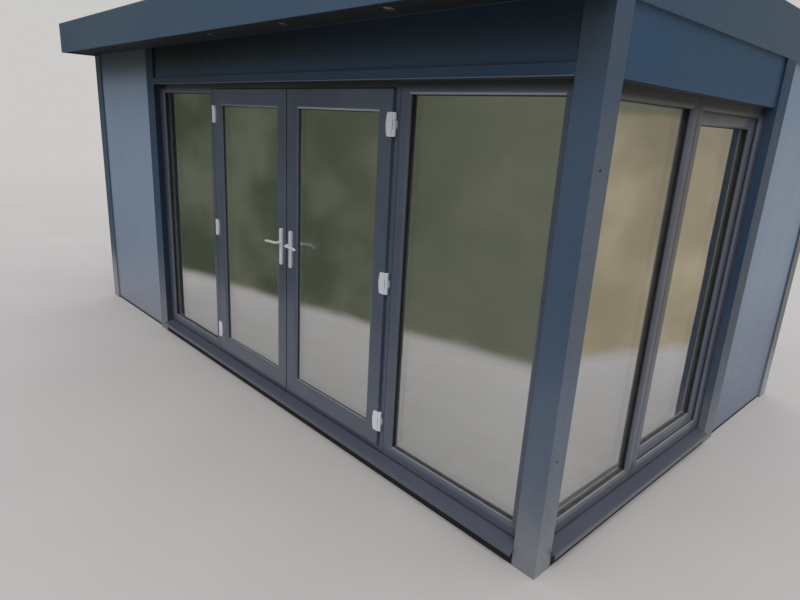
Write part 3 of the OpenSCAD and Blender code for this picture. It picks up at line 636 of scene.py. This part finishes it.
def joint_lines():
    """Coupling joints between neighbouring frames, and sealant where frames meet trims, headers and sills."""
    bm = bmesh.new()
    half, proud, into = 0.0014, 0.0007, 0.001
    z0, z1 = extent(front, "door_frame")[3:]
    for wall, node in ((front, "left_light_frame"), (front, "door_frame"), (side, "side_light_frame")):
        a, face = extent(wall, node)[1:3]
        along, depth = directions(wall)
        profile = ((-half, -proud), (half, -proud), (half, into), (-half, into))
        bar(bm, wall(a, face, z0), wall(a, face, z1), [along * w + depth * d for w, d in profile])
    piece("coupling_joints", bm, RUBBER, "pod")
    bm = bmesh.new()
    leg, sunk, short = 0.006, 0.0015, 0.0005
    for wall, first, last in ((front, "left_light_frame", "right_light_frame"),
                              (side, "side_light_frame", "casement_frame")):
        a0, face = extent(wall, first)[0], extent(wall, first)[2]
        a1 = extent(wall, last)[1]
        along, depth = directions(wall)
        up = Vector((0, 0, 1))
        corner = [Vector((0, 0, 0)), -depth * leg]
        bar(bm, wall(a0, face, z0), wall(a0, face, z1 - short), [*corner, along * leg])
        bar(bm, wall(a1, face, z0), wall(a1, face, z1 - short), [*corner, -along * leg])
        bar(bm, wall(a0, face, z1), wall(a1, face, z1), [*corner, -up * leg])
        bar(bm, wall(a0, face, z0), wall(a1, face, z0), [-up * sunk, -depth * leg - up * sunk, up * leg])
    piece("frame_sealant", bm, SEALANT, "pod")


def trims():
    """Thin folded lines: soffit bead, drip edge over the front opening, sill end caps and drip lips."""
    bm = bmesh.new()
    x0, x1 = LEFT_X + TRIM_T, SIDE_X - TRIM_T
    bead = 0.004
    block(bm, (x0, FRONT_Y - bead, SOFFIT_Z - bead), (x1, FRONT_Y - 0.0005, SOFFIT_Z - 0.0002), 0.001)
    piece("soffit_bead", bm, STEEL, "pod")
    bm = bmesh.new()
    low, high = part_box("head_trim")
    # The drip edge's lighter steel is a painted highlight
    block(bm, (low.x, FRONT_Y - 0.003, low.z - 0.0015), (high.x, FRONT_Y + 0.010, low.z + 0.0025), 0.0008)
    piece("head_drip", bm, LIT_DRIP, "pod")
    bm = bmesh.new()
    post_x = SIDE_X - POST_W
    nose_high, cap = SILL_HIGH.z - SILL_FALL, 0.003
    nose_low = nose_high - NOSE_H
    block(bm, (post_x, SILL_LOW.y, nose_low), (post_x + cap, FRONT_Y, nose_high), 0.001)
    block(bm, (SIDE_X, FRONT_Y + POST_W - cap, nose_low), (SILL_HIGH.x, FRONT_Y + POST_W, nose_high), 0.001)
    piece("sill_end_caps", bm, SILL, "pod")
    bm = bmesh.new()
    drop, lip_t, set_back = 0.018, 0.006, 0.0006
    lip = ((set_back, 0.0002), (set_back, 0.001 - drop), (set_back + 0.001, -drop),
           (set_back + lip_t - 0.002, -drop), (set_back + lip_t, 0.0002))
    bar(bm, (SILL_LOW.x + 0.001, SILL_LOW.y, nose_low), (post_x - 0.0005, SILL_LOW.y, nose_low),
        [(0, d, h) for d, h in lip])
    bar(bm, (SILL_HIGH.x, FRONT_Y + POST_W + 0.0005, nose_low), (SILL_HIGH.x, SILL_HIGH.y - 0.001, nose_low),
        [(-d, 0, h) for d, h in lip])
    piece("sill_drip_lips", bm, SILL, "pod")


# Capped screws in the post: turned outline, heights, distance from the front face
CAP_SCREW = ((0.0, 0.0022), (0.0016, 0.0022), (0.002, 0.0012), (0.0028, 0.0012), (0.0034, 0.0020),
             (0.0046, 0.0014), (0.005, 0.0004), (0.005, 0.0), (0.0, 0.0))
CAP_SCREW_HEIGHTS = (0.59, 1.82)
CAP_SCREW_SET = 0.053


def screws():
    """The two dark capped screws that show in the side of the corner post."""
    bm = bmesh.new()
    for z in CAP_SCREW_HEIGHTS:
        lathe(bm, CAP_SCREW, (SIDE_X, FRONT_Y + CAP_SCREW_SET, z), (1, 0, 0), 16)
    piece("post_screws", bm, BEZEL, "pod", smooth=True)


# Soffit lights: how many, radius, width of the flange past the barrel, steps round, and the lens's radius
# and top
LIGHT_COUNT = 5
LIGHT_R = 0.044
LIGHT_LIP = 0.0075
LIGHT_STEPS = 48
LENS_R = 0.0262
LENS_TOP = 0.0069


def downlights():
    """Recessed lights: dark bezel with a stepped mouth, and a pale lens set up inside."""
    low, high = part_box("soffit_lights")
    y = (low.y + high.y) / 2
    pitch = (high.x - low.x - 2 * LIGHT_R) / (LIGHT_COUNT - 1)
    top, seat = high.z - SOFFIT_Z, 0.0002
    bezel = ((0.0, top), (LIGHT_R - LIGHT_LIP, top), (LIGHT_R - LIGHT_LIP, seat), (LIGHT_R, seat),
             (LIGHT_R, -0.0012), (LIGHT_R - 0.0018, -0.003), (LIGHT_R - 0.007, -0.003),
             (LIGHT_R - 0.009, -0.0015), (LIGHT_R - 0.0105, -0.0015), (LIGHT_R - 0.0175, 0.007), (0.0, 0.007))
    lens = ((0.0, LENS_TOP), (LENS_R, LENS_TOP), (LENS_R, 0.0035), (0.024, 0.0022), (0.012, 0.0010),
            (0.0, 0.0006))
    rims, lenses = bmesh.new(), bmesh.new()
    for i in range(LIGHT_COUNT):
        place = (low.x + LIGHT_R + i * pitch, y, SOFFIT_Z)
        lathe(rims, bezel, place, (0, 0, 1), LIGHT_STEPS)
        lathe(lenses, lens, place, (0, 0, 1), LIGHT_STEPS)
    bezels = piece("downlight_bezels", rims, BEZEL, "pod", smooth=True)
    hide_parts("soffit_lights")
    piece("downlight_lenses", lenses, LENS, "pod", smooth=True)


DOORS = ("left_door", "right_door")

# Turned outlines: collar of a lock cylinder, and head of a countersunk screw
COLLAR = ((0.0, -0.001), (0.0070, -0.001), (0.0070, 0.0004), (0.0064, 0.0011), (0.0052, 0.0011),
          (0.0048, 0.0006), (0.0, 0.0006))
PLATE_SCREW = ((0.0, 0.0006), (0.0012, 0.0006), (0.0014, 0.0012), (0.0034, 0.0012), (0.0040, 0.0006),
               (0.0040, -0.0005), (0.0, -0.0005))

# Cylinder's height in its plate, distance of the screws from its ends, and how far they are set back
LOCK_UP = 0.058
PLATE_SCREW_SET = 0.017
PLATE_SCREW_BACK = 0.002


def lock_cylinders():
    """Profile cylinder in each handle plate: turned collar, plug face and key slot."""
    half_w, half_h, proud = 0.0006, 0.0035, 0.0009
    for door in DOORS:
        low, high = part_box(door + "_plates")
        x, z = (low.x + high.x) / 2, low.z + LOCK_UP
        steel, slot = bmesh.new(), bmesh.new()
        for y, out in ((low.y, -1), (high.y, 1)):
            lathe(steel, COLLAR, (x, y, z), (0, out, 0), 32)
            near, far = sorted((y, y + out * proud))
            block(slot, (x - half_w, near, z - half_h), (x + half_w, far, z + half_h), 0.0002)
        piece(door + "_cylinders", steel, SILVER, door, smooth=True)
        piece(door + "_key_slots", slot, BLACK, door)


def plate_screws():
    """Countersunk screws in the handle plates."""
    for door in DOORS:
        low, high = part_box(door + "_plates")
        x = (low.x + high.x) / 2
        bm = bmesh.new()
        for z in (low.z + PLATE_SCREW_SET, high.z - PLATE_SCREW_SET):
            lathe(bm, PLATE_SCREW, (x, low.y + PLATE_SCREW_BACK, z), (0, -1, 0), 24)
            lathe(bm, PLATE_SCREW, (x, high.y - PLATE_SCREW_BACK, z), (0, 1, 0), 24)
        piece(door + "_plate_screws", bm, SILVER, door, smooth=True)


# Floor planks: width, length, joint beside each, eased edge, shift of the ends from row to row in plank
# lengths, the shortest offcut that is laid and the gap along the glazed side
PLANK_W = 0.192
PLANK_L = 1.285
PLANK_JOINT = 0.0006
PLANK_EASE = 0.0009
PLANK_SHIFT = 0.37
PLANK_SHORTEST = 0.03
PLANK_CLEAR = 0.001


def room():
    """Inner faces of the linings: left, right, front and back."""
    return LEFT_X + ROOM_SET, SIDE_X - ROOM_SET, FRONT_Y + ROOM_SET, BACK_Y - ROOM_SET


def floor_planks():
    """Laid laminate planks with eased edges and staggered ends, in place of the plain floor sheet."""
    low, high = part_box("floor_boards")
    x0, x1, y0, y1 = room()
    x1 -= PLANK_CLEAR
    bm = bmesh.new()
    tones = []
    rows = math.ceil((y1 - y0) / PLANK_W)
    for row in range(rows):
        near = y0 + row * PLANK_W
        far = min(near + PLANK_W, y1)
        start = x0 - (row * PLANK_SHIFT % 1.0) * PLANK_L
        while start < x1:
            left, right = max(start, x0), min(start + PLANK_L, x1)
            if right - left > PLANK_SHORTEST:
                block(bm, (left + PLANK_JOINT, near + PLANK_JOINT, low.z),
                      (right - PLANK_JOINT, far - PLANK_JOINT, high.z), PLANK_EASE)
                tones.append((row * 0.618 + start * 1.93) % 1.0)
            start += PLANK_L
    made = piece("floor_planks", bm, PLANK, "pod")
    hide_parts("floor_boards")
    shade = made.data.attributes.new("plank_tone", "FLOAT", "FACE")
    per = len(made.data.polygons) // len(tones)
    for i, face in enumerate(made.data.polygons):
        shade.data[i].value = tones[min(i // per, len(tones) - 1)]


def skirting():
    """Skirting inside along the linings, with an eased top."""
    bm = bmesh.new()
    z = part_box("floor_boards")[1].z
    tall, thick, short = 0.070, 0.012, 0.0005
    profile = ((0, 0), (thick, 0), (thick, tall - 0.006), (thick - 0.003, tall - 0.001),
               (thick - 0.006, tall), (0, tall))
    x0, x1, y0, y1 = room()
    wall_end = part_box("front_wall")[1].x
    side_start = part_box("right_wall")[0].y
    bar(bm, (x0, y1, z), (x1, y1, z), [(0, -d, h) for d, h in profile])
    bar(bm, (x0, y0 + short, z), (x0, y1 - short, z), [(d, 0, h) for d, h in profile])
    bar(bm, (x0, y0, z), (wall_end, y0, z), [(0, d, h) for d, h in profile])
    bar(bm, (x1, side_start, z), (x1, y1 - short, z), [(-d, 0, h) for d, h in profile])
    piece("skirting", bm, WHITE, "pod")


def roof_details():
    """Welded laps across the membrane, and raised trims along its side edges."""
    low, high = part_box("roof_covering")
    run = high.y - low.y
    front_z, rear_z = high.z, low.z + ROOF_REAR_T
    lap_y, trim_y = (low.y + 0.03, high.y - 0.004), (low.y + 0.036, high.y - 0.03)

    def on_roof(x, y, up):
        """Point above the sloping sheet."""
        return Vector((x, y, front_z + (rear_z - front_z) * (y - low.y) / run + up))

    bm = bmesh.new()
    count, half, thick, sunk = 4, 0.0225, 0.0022, 0.001
    lap = ((-half, -sunk), (half, -sunk), (half, thick * 0.6), (half - 0.004, thick), (-half, thick))
    for i in range(1, count + 1):
        x = low.x + (high.x - low.x) * i / (count + 1)
        loft(bm, [[on_roof(x + w, y, h) for w, h in lap] for y in lap_y])
    piece("membrane_laps", bm, MEMBRANE, "pod")
    bm = bmesh.new()
    near, far = 0.034, 0.074
    for x0, x1 in ((low.x + near, low.x + far), (high.x - far, high.x - near)):
        trim = ((x0, -sunk), (x1, -sunk), (x1, 0.003), (x0, 0.012))
        loft(bm, [[on_roof(x, y, h) for x, h in trim] for y in trim_y])
    piece("membrane_upstands", bm, MEMBRANE, "pod")


# Downpipe shoe from its top to its mouth: (throw, height, tilt)
SHOE = ((0, 0.15, 0), (0, 0.11, 0), (0.006, 0.085, 0.006), (0.019, 0.058, 0.014))


def rainwater():
    """Gutter straps, downpipe collars and a shoe that throws clear of the wall."""
    low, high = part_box("rear_gutter")
    bm = bmesh.new()
    count, end, half, inset, thick = 7, 0.10, 0.012, 0.001, 0.003
    top = high.z - inset
    for i in range(count):
        x = low.x + end + (high.x - low.x - 2 * end) * i / (count - 1)
        block(bm, (x - half, low.y + inset, top - thick), (x + half, high.y - inset, top), 0.0006)
    piece("gutter_straps", bm, STEEL, "pod")
    gutter_y = high.y
    low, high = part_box("rear_downpipe")
    w = high.x - low.x
    y0 = BACK_Y + (gutter_y - BACK_Y - w) / 2
    bm = bmesh.new()
    grow, collar_h, top_drop, middle = 0.003, 0.05, 0.052, 1.20
    x_sides = (low.x - grow, high.x + grow)
    y_sides = (y0 - grow, y0 + w + grow)

    def square(throw, z, tilt):
        """Corners of the shoe at one height, thrown out from the wall and tilted."""
        corners = ((0, 0), (1, 0), (1, 1), (0, 1))
        return [Vector((x_sides[i], y_sides[k] + throw, z - tilt if k else z + tilt)) for i, k in corners]

    loft(bm, [square(*stage) for stage in SHOE])
    for z in (high.z - top_drop, middle):
        block(bm, (x_sides[0], y_sides[0], z), (x_sides[1], y_sides[1], z + collar_h), 0.002)
    piece("downpipe_shoe", bm, STEEL, "pod")


# Studio

# Floor, backdrop and the floor's tone far away, then how far the floor reaches and its thickness
FLOOR_TONE = srgb(181, 176, 174)
BACKDROP = srgb(204, 202, 200)
FAR_TONE = srgb(188, 183, 180)
FLOOR_REACH = 60.0
FLOOR_T = 0.05

# Dome's strength at the horizon and overhead and its tint, then the sun's side, breadth in degrees and
# strength
DOME = (0.24, 1.40)
DOME_TINT = (0.94, 0.97, 1.0, 1)
SUN_FROM = (0.50, -0.48, 1.0)
SUN_BREADTH = 40
SUN_STRENGTH = 1.0

# The drape is a glowing wall round the pod whose tones are a painted reflection of a garden: radius, ends of
# its straight stretch past the front, top, height at which its warm side ends, steps of its round stretch and
# steps left out at each end, then its tones
DRAPE_R = 3.9
DRAPE_FROM, DRAPE_TO = (-4.6, -2.05), (2.4, -3.64)
DRAPE_TOP = 6.0
WARM_TOP = 2.09
DRAPE_STEPS = 72
DRAPE_SKIP = 4
DRAPE_GREEN = (srgb(74, 82, 66), srgb(104, 108, 92))
DRAPE_PALE = srgb(122, 124, 108)
DRAPE_WARM = (srgb(156, 146, 123), srgb(189, 176, 152))
DRAPE_WARM_HIGH = srgb(120, 114, 98)


def stage_object(name, bm, material):
    """Turns a bmesh into an object of the studio."""
    made = new_object(name, bm, material)
    return made


def studio_floor():
    """Plain pale floor with a trace of unevenness."""
    bm = bmesh.new()
    corners = [(x * FLOOR_REACH, y * FLOOR_REACH) for x, y in ((-1, -1), (1, -1), (1, 1), (-1, 1))]
    loft(bm, [[Vector((x, y, z)) for x, y in corners] for z in (-FLOOR_T, 0.0)])
    f = Finish("studio_floor", roughness=0.9, Specular_IOR_Level=0.1)
    dark, light = (tuple(c * k for c in FLOOR_TONE[:3]) + (1,) for k in (0.98, 1.02))
    colour = f.mix(f.patches(0.8, 4), dark, light)
    away = f.add("ShaderNodeVectorMath", {0: f.place}, operation="LENGTH").outputs["Value"]
    colour = f.mix(f.span(away, 5.0, 22.0), colour, FAR_TONE)
    stage_object("studio_floor", bm, f.done(colour))


def studio_drape():
    """Glowing drape, a painted reflection of a garden, that shows only in reflections and through glass:
    straight past the front, round elsewhere.
    """
    start, end = (math.atan2(y, x) for x, y in (DRAPE_TO, DRAPE_FROM))
    turn = (end - start) % (2 * PI)
    angles = [start + turn * i / DRAPE_STEPS for i in range(DRAPE_SKIP, DRAPE_STEPS - DRAPE_SKIP + 1)]
    path = [DRAPE_FROM, DRAPE_TO, *((DRAPE_R * math.cos(a), DRAPE_R * math.sin(a)) for a in angles)]
    bm = bmesh.new()
    low, high = ([bm.verts.new((x, y, z)) for x, y in path] for z in (0.0, DRAPE_TOP))
    for i in range(len(path)):
        bm.faces.new((low[i - 1], low[i], high[i], high[i - 1]))
    f = Finish("studio_drape")
    parts = f.xyz(f.place)
    drape_glow = f.mix(f.span(f.noise(1.3, 3), 0.35, 0.7), *DRAPE_GREEN)
    drape_glow = f.mix(f.span(parts[0], -1.5, 1.5, 0.0, 0.6), drape_glow, DRAPE_PALE)
    warm = f.mix(f.span(f.noise(1.1, 3), 0.35, 0.7), *DRAPE_WARM)
    warm = f.mix(f.span(parts[2], 1.3, 2.1, 0.0, 0.45), warm, DRAPE_WARM_HIGH)
    right = f.math("MULTIPLY", f.span(f.math("ADD", parts[0], parts[1]), 0.8, 2.4),
                   f.span(parts[2], WARM_TOP, WARM_TOP + 0.07, 1.0, 0.1))
    drape_glow = f.mix(right, drape_glow, warm)
    drape_glow = f.mix(f.span(parts[2], 0.02, 0.14, 1.0, 0.0), drape_glow, FLOOR_TONE)
    drape_glow = f.mix(f.span(parts[2], 3.6, DRAPE_TOP), drape_glow, BACKDROP)
    # The drape glows, so its painted reflection tones show in glass and metal whatever the lamps do
    glow = f.add("ShaderNodeEmission", {"Color": drape_glow, "Strength": 1.0})
    f.tree.links.new(glow.outputs[0], f.tree.nodes["Material Output"].inputs["Surface"])
    drape = stage_object("studio_drape", bm, f.material)
    drape.visible_camera = drape.visible_diffuse = drape.visible_shadow = drape.visible_volume_scatter = False


def studio_light():
    """Overcast dome, brightest overhead, a broad soft sun from the front right, and a plain backdrop."""
    world = bpy.data.worlds.new("studio")
    bpy.context.scene.world = world
    world.use_nodes = True
    tree = world.node_tree
    lit = tree.nodes["Background"]
    lit.inputs["Color"].default_value = DOME_TINT
    ray = tree.nodes.new("ShaderNodeTexCoord")
    parts = tree.nodes.new("ShaderNodeSeparateXYZ")
    tree.links.new(ray.outputs["Generated"], parts.inputs[0])
    dome = tree.nodes.new("ShaderNodeMapRange")
    for key, value in (("From Min", 0.0), ("From Max", 1.0), ("To Min", DOME[0]), ("To Max", DOME[1])):
        dome.inputs[key].default_value = value
    tree.links.new(parts.outputs["Z"], dome.inputs["Value"])
    tree.links.new(dome.outputs["Result"], lit.inputs["Strength"])
    seen = tree.nodes.new("ShaderNodeBackground")
    seen.inputs["Color"].default_value = BACKDROP
    path = tree.nodes.new("ShaderNodeLightPath")
    either = path.outputs["Is Camera Ray"]
    for other in ("Is Glossy Ray", "Is Transmission Ray"):
        larger = tree.nodes.new("ShaderNodeMath")
        larger.operation = "MAXIMUM"
        tree.links.new(either, larger.inputs[0])
        tree.links.new(path.outputs[other], larger.inputs[1])
        either = larger.outputs[0]
    mix = tree.nodes.new("ShaderNodeMixShader")
    tree.links.new(either, mix.inputs[0])
    tree.links.new(lit.outputs[0], mix.inputs[1])
    tree.links.new(seen.outputs[0], mix.inputs[2])
    tree.links.new(mix.outputs[0], tree.nodes["World Output"].inputs["Surface"])

    data = bpy.data.lights.new("soft_sun", "SUN")
    data.energy = SUN_STRENGTH
    data.angle = math.radians(SUN_BREADTH)
    lamp = bpy.data.objects.new("soft_sun", data)
    lamp.rotation_euler = Vector(SUN_FROM).to_track_quat("Z", "Y").to_euler()
    bpy.context.scene.collection.objects.link(lamp)


# Camera solved from the photograph's straight edges: place, angles in degrees, lens in millimetres
CAMERA_AT = (3.855, -3.651, 1.945)
CAMERA_YAW, CAMERA_PITCH, CAMERA_ROLL = (math.radians(v) for v in (-46.11, -16.54, 3.28))
CAMERA_LENS = 26.62
SENSOR_W = 36.0


def camera():
    """Camera at the photograph's place, turned and rolled as solved."""
    forward = Vector((math.cos(CAMERA_PITCH) * math.sin(CAMERA_YAW),
                      math.cos(CAMERA_PITCH) * math.cos(CAMERA_YAW), math.sin(CAMERA_PITCH)))
    level = Vector((math.cos(CAMERA_YAW), -math.sin(CAMERA_YAW), 0))
    up = level.cross(forward)
    across = level * math.cos(CAMERA_ROLL) + up * math.sin(CAMERA_ROLL)
    upright = up * math.cos(CAMERA_ROLL) - level * math.sin(CAMERA_ROLL)
    data = bpy.data.cameras.new("camera")
    data.lens = CAMERA_LENS
    data.sensor_width = SENSOR_W
    made = bpy.data.objects.new("camera", data)
    turn = Matrix((across, upright, -forward)).transposed()
    made.matrix_world = Matrix.Translation(CAMERA_AT) @ turn.to_4x4()
    bpy.context.scene.collection.objects.link(made)
    bpy.context.scene.camera = made


dress()
glazing_seals()
sash_seal()
door_seals()
joint_lines()
trims()
screws()
downlights()
lock_cylinders()
plate_screws()
floor_planks()
skirting()
roof_details()
rainwater()
studio_floor()
studio_drape()
studio_light()
camera()
bpy.context.scene.view_settings.view_transform = "Standard"
